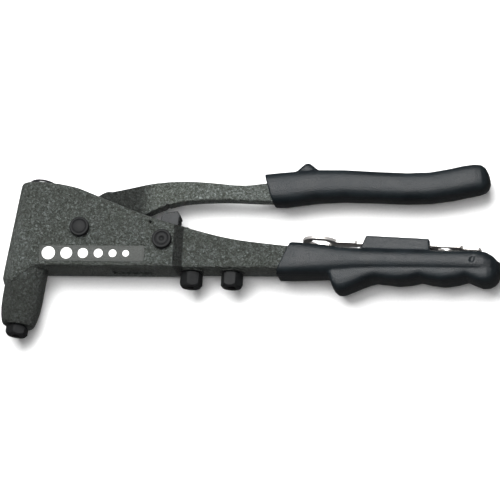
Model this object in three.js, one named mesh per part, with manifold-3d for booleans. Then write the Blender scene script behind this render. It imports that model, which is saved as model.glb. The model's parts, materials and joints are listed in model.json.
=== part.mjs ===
// Hand riveter: a plier-shaped tool that sets blind rivets.
//
// The tool lies flat on its back face. X runs from the nose to the handles, Y points from the
// fixed handle to the lever, Z points up out of the table. Everything is first drawn in a design
// frame whose origin is the lever's pivot, on the tool's mid-plane, and the finished group is
// then moved so that the middle of its underside is the origin. Lengths are millimetres.

import * as THREE from 'three';
import { mergeVertices } from 'three/addons/utils/BufferGeometryUtils.js';
import Module from 'manifold-3d';

const wasm = await Module();
wasm.setup();

// ---------------------------------------------------------------- driving dimensions
const gap = 0.3;                      // running and assembly clearance between two pieces
const through = 20;                   // cutters for holes across the tool reach this far each way
const deg = Math.PI / 180;

// nose: its axis leans from the lower left to the upper right, and s counts along it from the
// flat top of the body towards the nosepiece
const noseLean = 6.7 * deg;
const noseTop = new THREE.Vector3(-22.5, 24.4, 0);
const noseRadiusTop = 11;
const noseRadiusFoot = 12;
const boreRadius = 6.6;
const boreEnd = 68;
const barrelStart = 40;
const barrelRadius = 10.4;
const barrelEnd = 74.5;
const mandrelRadius = 1.6;

// body casting
const bodyHalf = 11;                  // half the thickness of the body
const shankHalf = 9;                  // half the thickness of the shank
const bodyFloor = -19.9;              // the straight lower edge of body and shank
const castEdge = 1.2;                 // rounding of the casting's edges
const footEdge = 3;                   // the larger rounding round the nose's foot
const padHeight = 0.4;
const padLeft = 36.4;                 // the raised pad round the stop pin starts here
const bandFoot = 50.3;                // the sloped band starts here and thins body to shank
const bandRun = 3.2;
const bandTilt = -4 * deg;
const panelDepth = 0.35;
const pitPlace = new THREE.Vector2(36.4, 3.2);
const pitRadius = 0.8;
const pitDepth = 2.5;
const recessHalf = 5.5;               // half the width of the recess in the underside
const recessDepth = 1.2;
const slotHalf = 4.7;
const slotEnd = 51;
const slotFloor = -14;
const tangHalf = 6;

// lever
const hubHalf = 4.4;
const headHalf = 3.2;
const armHalf = 4;
const shoulderHalf = 3.6;
const hubRadius = 10.5;
const forkReach = 25.5;               // pivot to the middle of the fork's tips
const forkAngle = 165.7 * deg;        // the fork's direction as drawn
const forkTipRadius = 2.5;
const forkSlotHalf = 2.6;
const leverTangHalf = 3.6;
const notchPlace = new THREE.Vector2(43, 13.9);
const notchRadius = 0.9;

// pins and stop block
const blockHalf = 4.3;
const blockNotches = [[50, 7.1], [49.9, 5.4], [49.8, 3.7]];  // down the block's handle side
const blockNotchRadius = 0.6;
const pivotPlace = new THREE.Vector2(0, 0);
const pinRadius = 4;
const stopPinRadius = 3.5;
const stopPinPlace = new THREE.Vector2(43.1, -6.2);
const pinHeadRadius = 5;
const pinHeadHeight = 2.3;
const ringThickness = 0.9;
const ringRadius = 5.6;
const grooveDepth = 0.9;
const pinTail = 1.1;                  // what stands out of a pin behind its ring
const ringMouth = 35 * deg;           // half the angle of a ring's opening

// drawing gear inside the nose, all on the nose axis, as s values with the fork as drawn
const noseAxis = new THREE.Vector2(-Math.sin(noseLean), -Math.cos(noseLean));
const forkStation = new THREE.Vector2(Math.cos(forkAngle), Math.sin(forkAngle))
  .multiplyScalar(forkReach)
  .sub(noseTop)
  .dot(noseAxis);
const neckRadius = 2.25;
const flangeRadius = 4.7;
const flangeThickness = 2.6;
const rodEnd = 35.5;
const rodSpigotRadius = 4.1;
const caseStart = 30;
const caseEnd = 58.2;
const caseRadius = 6.2;
const caseBore = 4.4;
const coneStart = 48;
const coneMouth = 2.6;
const pusherShoulder = 45;
const pusherTravel = 1.5;
const springWire = 0.45;
const springRadius = 3.2;
const springTurns = 4;
const jawBore = 0.9;
const jawSplit = 0.2;                 // taken off each side of a jaw, clear of its neighbour

// nosepieces
const hexFlats = 10;
const nosepieceHead = 5;
const spareHead = 7.6;
const nosepieceShank = 6;
const nosepieceShankRadius = 4;
const spareStations = [57.3, 78.3];
const spareTurns = [12 * deg, 34 * deg];
const fittedTurn = 8 * deg;
const fittedBore = 1.7;
const spareBores = [1.35, 2];
const bossRadius = 6.6;
const bossHeight = 0.8;

// grips
const lowerGripHalf = 11;
const webHalf = 9.6;
const clipHalf = 7.3;
const channelHalf = 3.3;
const dimplePlace = new THREE.Vector2(203, -15);
const dimpleRadius = 1.3;
const dimpleDepth = 1;
const dimpleStretch = 1.6;
const dimpleTurn = -25 * deg;

// spanner, a flat plate clipped edge-on above the lower grip
const spannerStart = new THREE.Vector2(113.8, -3.3);
const spannerLean = -2.6 * deg;
const spannerLength = 91.9;
const spannerThick = 1.6;
const spannerRing = 9.3;
const spannerBlade = 4;
const spannerWaist = 2.9;
const spannerTab = 5.75;

// ---------------------------------------------------------------- materials
const paint = { color: 0x3d403c, roughness: 0.6, metalness: 0.35 };
const rubber = { color: 0x23272b, roughness: 0.62, metalness: 0 };
const blackOxide = { color: 0x26292a, roughness: 0.45, metalness: 0.6 };
const zinc = { color: 0xb9b5ad, roughness: 0.25, metalness: 1 };
const brightSteel = { color: 0x8b8d8e, roughness: 0.35, metalness: 1 };
const glossBlack = { color: 0x121314, roughness: 0.2, metalness: 0.1 };

// ---------------------------------------------------------------- solids
function solid(geometry, matrix) {
  const bare = geometry.clone();
  bare.deleteAttribute('normal');
  bare.deleteAttribute('uv');
  if (matrix) bare.applyMatrix4(matrix);
  const merged = mergeVertices(bare, 1e-4);
  const corners = merged.index.array;
  const faces = [];
  for (let i = 0; i < corners.length; i += 3) {
    const [a, b, c] = corners.slice(i, i + 3);
    if (a !== b && b !== c && c !== a) faces.push(a, b, c);
  }
  return new wasm.Manifold(new wasm.Mesh({
    numProp: 3,
    vertProperties: new Float32Array(merged.attributes.position.array),
    triVerts: new Uint32Array(faces),
  }));
}

function join(first, ...others) {
  return others.reduce((sum, other) => sum.add(other), first);
}

function cut(first, ...others) {
  return others.reduce((rest, other) => rest.subtract(other), first);
}

function mesh(name, manifold, look) {
  const data = manifold.getMesh();
  const geometry = new THREE.BufferGeometry();
  const corners = new Float32Array(data.vertProperties);
  geometry.setAttribute('position', new THREE.BufferAttribute(corners, 3));
  geometry.setIndex(new THREE.BufferAttribute(new Uint32Array(data.triVerts), 1));
  geometry.computeVertexNormals();
  const piece = new THREE.Mesh(geometry, new THREE.MeshStandardMaterial(look));
  piece.name = name;
  return piece;
}

// a plate of the given outline, centred on z = 0, with rounded edges
function plate(outline, half, edge = 0, options = {}) {
  const { curve = 4, rounds = 2 } = options;
  const geometry = new THREE.ExtrudeGeometry(outline, {
    depth: 2 * (half - edge),
    curveSegments: curve,
    bevelEnabled: edge > 0,
    bevelThickness: edge,
    bevelSize: edge,
    bevelOffset: -edge,
    bevelSegments: rounds,
  });
  return solid(geometry, new THREE.Matrix4().makeTranslation(0, 0, edge - half));
}

function moved(matrix, x, y, z) {
  return new THREE.Matrix4().makeTranslation(x, y, z).multiply(matrix);
}

function box(x0, x1, y0, y1, z0, z1) {
  const geometry = new THREE.BoxGeometry(x1 - x0, y1 - y0, z1 - z0);
  const middle = new THREE.Matrix4().makeTranslation((x0 + x1) / 2, (y0 + y1) / 2, (z0 + z1) / 2);
  return solid(geometry, middle);
}

// a turned solid; its profile is a list of [radius, height] and its axis is local Y
function turned(profile, matrix, segments = 24) {
  const points = profile.map(([radius, height]) => new THREE.Vector2(radius, height));
  if (THREE.ShapeUtils.area(points) < 0) points.reverse();
  return solid(new THREE.LatheGeometry(points, segments), matrix);
}

// a cylinder along Z between two heights
function roundBar(x, y, radius, z0, z1, segments = 24) {
  const upright = new THREE.Matrix4().makeRotationX(Math.PI / 2);
  const profile = [[0, z0], [radius, z0], [radius, z1], [0, z1]];
  return turned(profile, moved(upright, x, y, 0), segments);
}

function pinHole(place, radius) {
  return roundBar(place.x, place.y, radius + gap, -through, through);
}

function polygon(points) {
  return new THREE.Shape(points.map(([x, y]) => new THREE.Vector2(x, y)));
}

function spline(shape, points) {
  shape.splineThru(points.map(([x, y]) => new THREE.Vector2(x, y)));
}

// a band of even width on both sides of a smooth middle line
function band(points, halfWidth, steps) {
  const line = new THREE.SplineCurve(points.map(([x, y]) => new THREE.Vector2(x, y)));
  const upper = [];
  const lower = [];
  for (let i = 0; i <= steps; i += 1) {
    const place = line.getPoint(i / steps);
    const along = line.getTangent(i / steps);
    const side = new THREE.Vector2(-along.y, along.x).multiplyScalar(halfWidth);
    upper.push(place.clone().add(side));
    lower.push(place.clone().sub(side));
  }
  return new THREE.Shape([...lower, ...upper.reverse()]);
}

// A closed skin through rounded-rectangle sections. A section is given by its top and bottom
// points in the XY plane and by half its thickness: [topX, topY, bottomX, bottomY, half]. A
// higher power makes it squarer; a section may end with a power of its own.
function loft(sections, sides, power) {
  const corners = [];
  sections.forEach(([topX, topY, bottomX, bottomY, half, ownPower = power]) => {
    for (let i = 0; i < sides; i += 1) {
      const angle = 2 * Math.PI * (i + 0.5) / sides;
      const bulge = (value) => Math.sign(value) * Math.abs(value) ** (2 / ownPower);
      const up = (1 + bulge(Math.sin(angle))) / 2;
      const x = bottomX + (topX - bottomX) * up;
      const y = bottomY + (topY - bottomY) * up;
      corners.push(x, y, half * bulge(Math.cos(angle)));
    }
  });
  const faces = [];
  const last = (sections.length - 1) * sides;
  for (let i = 0; i < sides; i += 1) {
    const next = (i + 1) % sides;
    for (let row = 0; row < last; row += sides) {
      faces.push(row + i, row + sides + i, row + next);
      faces.push(row + next, row + sides + i, row + sides + next);
    }
    if (i > 0 && i < sides - 1) {
      faces.push(0, i, next, last, last + next, last + i);
    }
  }
  const geometry = new THREE.BufferGeometry();
  geometry.setAttribute('position', new THREE.Float32BufferAttribute(corners, 3));
  geometry.setIndex(faces);
  return solid(geometry);
}

// the nose frame: local Y runs down the nose axis, local X points away from the pivot
const noseFrame = new THREE.Matrix4()
  .makeTranslation(noseTop.x, noseTop.y, noseTop.z)
  .multiply(new THREE.Matrix4().makeRotationZ(Math.PI - noseLean));

function onNose(profile, segments) {
  return turned(profile, noseFrame, segments);
}

// a hexagonal bar along local Y between two heights
function hexBar(flats, y0, y1, turn) {
  const corner = flats / 2 / Math.cos(30 * deg);
  const height = y1 - y0;
  const place = new THREE.Matrix4()
    .makeTranslation(0, (y0 + y1) / 2, 0)
    .multiply(new THREE.Matrix4().makeRotationY(turn));
  return solid(new THREE.CylinderGeometry(corner, corner, height, 6), place);
}

// ---------------------------------------------------------------- body casting
function headOutline() {
  const outline = new THREE.Shape();
  outline.moveTo(-36, 26);
  outline.lineTo(-44, bodyFloor);
  outline.lineTo(56, bodyFloor);
  outline.lineTo(56, 1);
  outline.lineTo(52.3, 1.6);
  outline.lineTo(41.7, 4.4);
  spline(outline, [[26.9, 9.6], [14, 14.7], [4, 18.8], [-3.5, 21.6], [-12.5, 23.5]]);
  outline.closePath();
  return outline;
}

// the collar round the top of the barrel, sweeping up into the body's lower edge
function footOutline() {
  const outline = new THREE.Shape();
  outline.moveTo(-44, -8);
  outline.lineTo(-44, -28.3);
  outline.lineTo(-33.6, -28.3);
  outline.lineTo(-28.6, -24);
  outline.quadraticCurveTo(-24.5, bodyFloor - 0.3, -17, bodyFloor);
  outline.lineTo(-6, bodyFloor);
  outline.lineTo(-6, -8);
  outline.closePath();
  return outline;
}

function shankOutline() {
  const outline = new THREE.Shape();
  outline.moveTo(46, bodyFloor);
  outline.lineTo(112, bodyFloor);
  outline.lineTo(112, -8.3);
  spline(outline, [[104.6, -7.7], [93.4, -6.5], [82.1, -5.1], [70.7, -2.9], [59.3, 0], [52.3, 1.7]]);
  outline.lineTo(46, 3.3);
  outline.closePath();
  return outline;
}

const tangLine = [[104, -13.6], [140, -14.1], [175, -14.9], [201, -15.4]];

// the body is round about the nose axis on its left side and flat on the rest
function noseRounding() {
  const shell = onNose([
    [0, 0], [noseRadiusTop - 1.6, 0], [noseRadiusTop - 0.5, 0.5], [noseRadiusTop, 1.6],
    [noseRadiusFoot, 46], [noseRadiusFoot, 51], [noseRadiusFoot - 1, 53.4],
    [noseRadiusFoot - 3, 54.6], [0, 54.6],
  ], 32);
  const rest = solid(new THREE.BoxGeometry(120, 120, 40), noseFrame.clone()
    .multiply(new THREE.Matrix4().makeTranslation(-60, 30, 0)));
  return shell.add(rest);
}

// thins the body from its full thickness to the shank's along a sloped band
function bandWedge(side) {
  const outer = bodyHalf + 5;
  const end = bandFoot + 20;
  const plan = polygon([
    [bandFoot, outer], [bandFoot, bodyHalf], [bandFoot + bandRun, shankHalf], [end, shankHalf],
    [end, outer],
  ]);
  const tall = new THREE.ExtrudeGeometry(plan, { depth: 60, bevelEnabled: false });
  const lean = new THREE.Matrix4().makeRotationZ(bandTilt);
  const stand = new THREE.Matrix4().makeRotationX(Math.PI / 2);
  const place = moved(new THREE.Matrix4(), 2, 25, 0).multiply(lean).multiply(stand);
  const wedge = solid(tall, place);
  return side > 0 ? wedge : wedge.mirror([0, 0, 1]);
}

function barrel() {
  return onNose([
    [0, barrelStart], [barrelRadius, barrelStart], [barrelRadius, 60.5], [barrelRadius - 0.3, 66],
    [9.4, 70.2], [8.7, 72.8], [7.9, barrelEnd - 0.3], [7.4, barrelEnd], [0, barrelEnd],
  ], 32);
}

function noseBore() {
  return onNose([
    [0, -2], [boreRadius, -2], [boreRadius, boreEnd], [nosepieceShankRadius + gap, boreEnd + 0.01],
    [nosepieceShankRadius + gap, barrelEnd + 2], [0, barrelEnd + 2],
  ]);
}

// the slot that the lever's head swings in; its left end opens into the nose bore
function leverSlot() {
  return plate(polygon([
    [-9, 30], [-10.5, 15.5], [-23.4, 17], [-26.6, -10], [-15, slotFloor], [slotEnd, slotFloor],
    [slotEnd, 6], [40, 10], [40, 30],
  ]), slotHalf);
}

function sidePads() {
  const pad = polygon([[padLeft, -18.9], [51, -18.9], [51, 0.9], [padLeft, 4.9]]);
  return plate(pad, bodyHalf + padHeight, 0.3, { rounds: 1 });
}

function sidePanels() {
  const panel = box(-21, 34.8, -18.6, -8.7, bodyHalf - panelDepth, bodyHalf + 1);
  return panel.add(panel.mirror([0, 0, 1]));
}

function undersideRecess() {
  const recess = new THREE.Shape();
  recess.moveTo(16, bodyFloor - 1);
  recess.lineTo(16, bodyFloor + recessDepth);
  recess.lineTo(33, bodyFloor + recessDepth);
  recess.quadraticCurveTo(37.5, bodyFloor + recessDepth, 40, bodyFloor - 1);
  recess.closePath();
  return plate(recess, recessHalf);
}

// a threaded socket's boss and hole on the underside of the shank
function socketFrame(x) {
  return new THREE.Matrix4()
    .makeTranslation(x, bodyFloor, 0)
    .multiply(new THREE.Matrix4().makeRotationX(Math.PI));
}

function socketBoss(x) {
  const profile = [[0, -1], [bossRadius, -1], [bossRadius, 0.3], [bossRadius - 0.5, bossHeight],
    [0, bossHeight]];
  return turned(profile, socketFrame(x));
}

function socketHole(x) {
  const radius = nosepieceShankRadius + gap;
  const deep = -nosepieceShank - 2;
  const profile = [[0, deep - 1.5], [radius, deep], [radius, 3], [0, 3]];
  return turned(profile, socketFrame(x));
}

function bodyCasting() {
  const head = plate(headOutline(), bodyHalf, castEdge, { curve: 3 });
  const foot = plate(footOutline(), bodyHalf, footEdge, { curve: 5, rounds: 4 });
  const outside = cut(
    join(head, foot, sidePads()).intersect(noseRounding()),
    bandWedge(1),
    bandWedge(-1),
  );
  const tang = plate(band(tangLine, 4.2, 6), tangHalf, 0.8, { rounds: 1 });
  const shank = plate(shankOutline(), shankHalf, castEdge, { curve: 2 });
  const casting = join(outside, shank, tang, barrel(), ...spareStations.map(socketBoss));
  return cut(
    casting,
    sidePanels(),
    noseBore(),
    leverSlot(),
    undersideRecess(),
    pinHole(pivotPlace, pinRadius),
    pinHole(stopPinPlace, stopPinRadius),
    roundBar(pitPlace.x, pitPlace.y, pitRadius, bodyHalf - pitDepth, through, 12),
    ...spareStations.map(socketHole),
  );
}

// ---------------------------------------------------------------- lever
const leverTangLine = [[86, 20.9], [98, 22.4], [130, 25.4], [160, 24.9], [182, 25.9], [198, 29]];

function leverHeadOutline() {
  const outline = new THREE.Shape();
  outline.moveTo(-6, 8.5);
  outline.lineTo(6, -8.5);
  outline.lineTo(14, -4.5);
  spline(outline, [[24, 3.9], [31.4, 8.9]]);
  outline.lineTo(37, 12);
  outline.lineTo(37, 22);
  outline.lineTo(24, 21.8);
  spline(outline, [[18, 20.6], [15, 21.3], [12.3, 21.7], [9.8, 21], [7, 19.3], [2, 15.6]]);
  outline.closePath();
  return outline;
}

// the arm's outline; `reach` moves its shoulder out over the head
function leverArmOutline(reach = 0) {
  const outline = new THREE.Shape();
  outline.moveTo(31.6 - reach / 2, 9.1 - reach / 2);
  outline.lineTo(37, 11.8);
  spline(outline, [[43.9, 14.3], [52.2, 16.2], [63.4, 17.1], [74, 17.4], [84, 17.1], [90, 16.9]]);
  outline.lineTo(99, 16.8);
  outline.lineTo(99, 26.9);
  outline.lineTo(91, 26);
  spline(outline, [[84, 25.2], [76.8, 25.3], [68.4, 26.1], [57.1, 26.9], [45.9, 26.8], [34.8, 25.7],
    [24, 23.3]]);
  outline.lineTo(13.5 - reach, 20.9);
  outline.lineTo(20.4 - reach, 18.8 - reach);
  outline.lineTo(26.9 - reach, 14.8 - reach);
  outline.lineTo(30.4 - reach, 11.2 - reach);
  outline.closePath();
  return outline;
}

// the fork that works the draw rod, pointing along +X from the pivot before it is turned
function leverFork() {
  const reach = forkReach;
  const outline = new THREE.Shape();
  outline.moveTo(2, -9);
  outline.lineTo(12, -7);
  outline.lineTo(18.2, -4.6);
  outline.lineTo(reach - 5, -1.85);
  outline.lineTo(reach - 1.7, -1.85);
  outline.absarc(reach, 0, forkTipRadius, -132 * deg, 132 * deg, false);
  outline.lineTo(reach - 1.7, 1.85);
  outline.lineTo(reach - 5, 1.85);
  outline.lineTo(18.2, 4.6);
  outline.lineTo(12, 7);
  outline.lineTo(2, 9);
  outline.closePath();
  const blank = plate(outline, hubHalf, 0, { curve: 8 });
  const slot = box(reach - 5.9, reach + 4, -8, 8, -forkSlotHalf, forkSlotHalf);
  const turn = new THREE.Matrix4().makeRotationZ(forkAngle);
  return blank.subtract(slot).transform(turn.elements);
}

function leverArm() {
  const hub = roundBar(0, 0, hubRadius, -hubHalf, hubHalf, 32);
  const head = plate(leverHeadOutline(), headHalf, 0.8, { curve: 3, rounds: 1 });
  const arm = plate(leverArmOutline(), armHalf, 0.5, { curve: 3, rounds: 1 });
  const shoulder = plate(leverArmOutline(0.7), shoulderHalf, 0.4, { curve: 3, rounds: 1 });
  const tang = plate(band(leverTangLine, 4, 8), leverTangHalf, 0.8, { rounds: 1 });
  return cut(
    join(hub, head, leverFork(), arm, shoulder, tang),
    pinHole(pivotPlace, pinRadius),
    roundBar(notchPlace.x, notchPlace.y, notchRadius, -through, through, 12),
  );
}

// ---------------------------------------------------------------- grips
// the pocket in a grip that its tang fits in
function pocket(line, halfWidth, half, steps) {
  return plate(band(line, halfWidth + gap, steps), half + gap, 0.8, { rounds: 1 });
}

const upperGripSections = [
  [92.6, 31.1, 98, 15.1, 8.3], [101, 32, 103.5, 15, 8.5], [110, 32.8, 111, 16.1, 8.7],
  [120, 33.6, 120, 17.4, 8.75], [134, 33.6, 133, 18.1, 8.75], [150, 32.8, 149, 17.8, 8.75],
  [166, 32.2, 165, 17.3, 8.75], [178, 32.7, 178, 17.7, 8.75], [187, 34.4, 189, 19.3, 8.7],
  [195, 36.3, 198, 21.2, 8.5], [200.5, 37.1, 202.6, 22.2, 8.2], [203.8, 36.9, 205.9, 23.3, 7.5],
  [205.9, 35.6, 207.6, 25.1, 6], [207.2, 33.3, 208.5, 27.5, 3.9],
];

// the raised stop for the hand on top of the grip
const gripBumpSections = [
  [106, 32.2, 106, 26, 3], [109.6, 33.5, 109.6, 26, 5.2], [111.7, 35.4, 111.7, 26, 6],
  [113.3, 36.9, 113.3, 26, 6.2], [115.3, 37.2, 115.3, 26, 6.2], [117.1, 36, 117.1, 26, 6],
  [119.3, 34.2, 119.3, 26, 5.2], [122.4, 33.3, 122.4, 26, 3],
];

function upperGrip() {
  const shell = loft(upperGripSections, 24, 3);
  const mouth = pocket(leverTangLine, 4, leverTangHalf, 8);
  const collar = plate(leverArmOutline(), armHalf + gap, 0, { curve: 3 })
    .intersect(box(80, 99.3, 10, 40, -10, 10));
  const grown = plate(polygon([[88, 16.4], [99.4, 16.3], [99.4, 27.4], [88, 26.2]]), armHalf + gap);
  return cut(join(shell, loft(gripBumpSections, 12, 4)), mouth, collar, grown);
}

const lowerTubeSections = [
  [108.9, -5.3, 101.8, -22.9, 10.4, 4.4], [113, -5.5, 110, -22.9, 10.8, 4.2],
  [124, -6.2, 122, -22.7, 11, 3.4], [133, -7, 133, -22.3, 11, 2.9],
  [142, -7.6, 142, -21.9, 11], [158, -8.2, 158, -21.7, 11], [178, -8.6, 178, -21.7, 11],
  [195, -8.6, 195, -21.9, 11], [205, -8.7, 205, -22.2, 10.8], [209, -9.4, 209, -22.6, 10.2],
  [212.5, -11.3, 212.5, -22.4, 8.9], [215, -13.9, 215, -21.9, 6.6],
  [216.4, -16.6, 216.6, -20.6, 3.8],
];

// the finger grooves under the tube: [x, y] along the lower edge and half the thickness there
const fingerEdge = [
  [126, -22, 7.6], [128.8, -23.2, 8.4], [130.2, -26.7, 8.8], [131.3, -29.3, 9],
  [133.4, -31.1, 9], [136.6, -31, 9], [141, -29, 9.1], [145, -27.1, 9.2],
  [149, -25.4, 9.3], [152.5, -24.5, 9.4], [157, -25, 9.4], [163.8, -25.8, 9.5],
  [170, -25.2, 9.5], [175.4, -23.8, webHalf], [181, -25.2, webHalf], [187.4, -26, webHalf],
  [193.5, -25.1, webHalf], [199.3, -23.4, webHalf], [203, -25.1, webHalf],
  [207, -26.6, webHalf], [210.4, -26.5, 9.4], [213, -25.3, 8.4], [214.9, -23.4, 6.6],
  [216.1, -20.9, 4],
];

function spannerClip() {
  const outline = polygon([[143.2, -12], [147.2, -1.9], [179.7, -3.4], [180.6, -12]]);
  return plate(outline, clipHalf, 0.5, { rounds: 1 });
}

function spannerFrame() {
  return new THREE.Matrix4()
    .makeTranslation(spannerStart.x, spannerStart.y, 0)
    .multiply(new THREE.Matrix4().makeRotationZ(spannerLean));
}

function spannerChannel() {
  const floor = -spannerThick / 2 - gap;
  const cutter = new THREE.BoxGeometry(60, 12, 2 * channelHalf);
  const place = spannerFrame().multiply(new THREE.Matrix4().makeTranslation(48, floor + 6, 0));
  return solid(cutter, place);
}

function lowerGrip() {
  const tube = loft(lowerTubeSections, 24, 2.6);
  const web = loft(fingerEdge.map(([x, y, half]) => [x, -14, x, y, half]), 20, 3.4);
  const hole = roundBar(0, 0, dimpleRadius, lowerGripHalf - dimpleDepth, through, 12);
  const stretch = new THREE.Matrix4().makeRotationZ(dimpleTurn)
    .multiply(new THREE.Matrix4().makeScale(1, dimpleStretch, 1));
  const dimple = hole.transform(moved(stretch, dimplePlace.x, dimplePlace.y, 0).elements);
  const shankMouth = plate(polygon([
    [98, bodyFloor - gap], [112.3, bodyFloor - gap], [112.3, -7.9], [104.6, -7.3], [98, -6.6],
  ]), shankHalf + gap, castEdge);
  return cut(
    join(tube, web, spannerClip()),
    pocket(tangLine, 4.2, tangHalf, 6),
    shankMouth,
    spannerChannel(),
    dimple,
  );
}

// ---------------------------------------------------------------- spanner
function spannerOutline() {
  const outline = new THREE.Shape();
  const ringMiddle = spannerRing;
  const neckAngle = Math.asin(spannerBlade / spannerRing);
  outline.absarc(ringMiddle, 0, spannerRing, neckAngle, 2 * Math.PI - neckAngle, false);
  const edge = [
    [27.4, spannerBlade], [28.4, spannerWaist], [66.8, spannerWaist], [66.8, spannerTab],
    [82, spannerTab], [83.2, 3.2], [spannerLength - 1, 3.2], [spannerLength, 2.4],
  ];
  edge.forEach(([x, y]) => outline.lineTo(x, -y));
  edge.reverse().forEach(([x, y]) => outline.lineTo(x, y));
  outline.closePath();
  const hex = new THREE.Path();
  const corner = (hexFlats + 0.3) / 2 / Math.cos(30 * deg);
  for (let i = 0; i < 6; i += 1) {
    const angle = i * 60 * deg;
    const place = [ringMiddle + corner * Math.cos(angle), corner * Math.sin(angle)];
    if (i === 0) hex.moveTo(...place);
    else hex.lineTo(...place);
  }
  hex.closePath();
  const eye = new THREE.Path();
  eye.absarc(73.4, 0, 3.6, 0, 2 * Math.PI, true);
  outline.holes.push(hex, eye);
  return outline;
}

function spanner() {
  const flat = plate(spannerOutline(), spannerThick / 2, 0.2, { curve: 10, rounds: 1 });
  const stand = new THREE.Matrix4().makeRotationX(Math.PI / 2);
  return flat.transform(spannerFrame().multiply(stand).elements);
}

// ---------------------------------------------------------------- pins, rings and stop block
// a headed pin through both cheeks, with a groove for its ring behind the back cheek
function headedPin(place, radius, seat, dimple) {
  const tail = -seat - gap - ringThickness - pinTail;
  const groove = -seat - gap;
  const top = seat + gap + pinHeadHeight;
  const neck = radius - grooveDepth;
  const profile = [
    [0, tail], [radius - 0.5, tail], [radius, tail + 0.5], [radius, groove - ringThickness - 0.1],
    [neck, groove - ringThickness - 0.1], [neck, groove], [radius, groove],
    [radius, seat + gap], [pinHeadRadius, seat + gap], [pinHeadRadius, top - 0.6],
    [pinHeadRadius - 0.6, top], ...dimple.map(([r, h]) => [r, top + h]),
  ];
  const upright = new THREE.Matrix4().makeRotationX(Math.PI / 2);
  return turned(profile, moved(upright, place.x, place.y, 0));
}

// a sprung retaining ring, open on one side, that sits in a pin's groove
function retainingRing(place, radius, seat) {
  const inner = radius - grooveDepth + 0.15;
  const innerMouth = ringMouth + 0.3;
  const outline = new THREE.Shape();
  outline.absarc(0, 0, ringRadius, ringMouth, 2 * Math.PI - ringMouth, false);
  outline.absarc(0, 0, inner, 2 * Math.PI - innerMouth, innerMouth, true);
  outline.closePath();
  const ring = plate(outline, (ringThickness - 0.2) / 2, 0, { curve: 12 });
  const depth = -seat - gap - ringThickness / 2 - 0.05;
  const turn = new THREE.Matrix4().makeRotationZ(-60 * deg);
  return ring.transform(moved(turn, place.x, place.y, depth).elements);
}

function stopBlock() {
  const outline = new THREE.Shape();
  outline.moveTo(38.6, -11.8);
  outline.lineTo(47.4, -11.8);
  outline.quadraticCurveTo(48.6, -11.6, 48.7, -10);
  outline.lineTo(50.1, 8.4);
  outline.lineTo(48.8, 11);
  outline.lineTo(43.3, 10.25);
  outline.quadraticCurveTo(40.7, 9.9, 40.3, 7.5);
  outline.lineTo(37.6, -10.4);
  outline.closePath();
  const block = plate(outline, blockHalf, 0.5, { curve: 3, rounds: 1 });
  const notches = blockNotches.map(([x, y]) => (
    roundBar(x, y, blockNotchRadius, -through, through, 8)
  ));
  return cut(block, pinHole(stopPinPlace, stopPinRadius), ...notches);
}

// ---------------------------------------------------------------- nose pieces
function rearCap() {
  const seat = -gap;
  return onNose([
    [0, 9], [boreRadius - 1.1, 9], [boreRadius - gap, 8.2], [boreRadius - gap, seat], [7.1, seat],
    [7.1, -1], [6.7, -1.7], [5, -2.7], [2.8, -3.3], [0, -3.5],
  ]);
}

// a nosepiece: threaded shank, hexagon and mandrel hole; local Y points out of the socket
function nosepiece(head, hole, turn) {
  const half = hexFlats / 2;
  const corner = half / Math.cos(30 * deg);
  const hex = hexBar(hexFlats, gap, head, turn);
  const crown = turned([
    [0, gap], [corner - 0.5, gap], [corner, gap + 0.5], [corner, head - 1.3], [half - 0.3, head],
    [0, head],
  ], null, 24);
  const shank = turned([
    [0, -nosepieceShank], [nosepieceShankRadius - 0.6, -nosepieceShank],
    [nosepieceShankRadius, 0.6 - nosepieceShank], [nosepieceShankRadius, gap + 0.1],
    [0, gap + 0.1],
  ]);
  const bore = turned([[0, -through], [hole, -through], [hole, through], [0, through]], null, 16);
  return cut(hex.intersect(crown).add(shank), bore);
}

function drawRod() {
  const neckHalf = forkTipRadius + gap;
  const top = forkStation - neckHalf - flangeThickness;
  const seat = caseStart - gap;
  return onNose([
    [mandrelRadius, top], [flangeRadius, top], [flangeRadius, forkStation - neckHalf],
    [neckRadius, forkStation - neckHalf], [neckRadius, forkStation + neckHalf],
    [flangeRadius, forkStation + neckHalf], [flangeRadius, seat], [rodSpigotRadius, seat],
    [rodSpigotRadius, rodEnd], [mandrelRadius, rodEnd], [mandrelRadius, top],
  ]);
}

function jawCase() {
  return onNose([
    [caseBore, caseStart], [caseRadius - 0.3, caseStart], [caseRadius, caseStart + 0.3],
    [caseRadius, caseEnd - 1.6], [caseRadius - 1.6, caseEnd], [coneMouth, caseEnd],
    [caseBore, coneStart], [caseBore, caseStart],
  ]);
}

const coneSlope = (caseBore - coneMouth) / (caseEnd - coneStart);
const jawStart = pusherShoulder + 3.3;
const jawEnd = caseEnd - 0.6;

// one of three jaws, a third of a cone with a bore for the mandrel, kept off its neighbours
function jaw(index) {
  const wall = (s) => Math.min(caseBore, coneMouth + (caseEnd - s) * coneSlope) - gap;
  const blank = onNose([
    [jawBore, jawStart], [wall(jawStart), jawStart], [wall(jawEnd), jawEnd], [jawBore, jawEnd],
    [jawBore, jawStart],
  ]);
  const third = new THREE.Shape();
  const reach = 2 * caseRadius;
  const spread = reach * Math.tan(60 * deg) - 4 * jawSplit;
  third.moveTo(2 * jawSplit, 0);
  third.lineTo(reach, spread);
  third.lineTo(reach * 2, 0);
  third.lineTo(reach, -spread);
  third.closePath();
  const wedge = new THREE.ExtrudeGeometry(third, { depth: 40, bevelEnabled: false });
  const stand = new THREE.Matrix4().makeRotationX(Math.PI / 2);
  const spin = new THREE.Matrix4().makeRotationY(index * 120 * deg);
  const place = noseFrame.clone()
    .multiply(new THREE.Matrix4().makeTranslation(0, jawEnd + 5, 0))
    .multiply(spin)
    .multiply(stand);
  return blank.intersect(solid(wedge, place));
}

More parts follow.
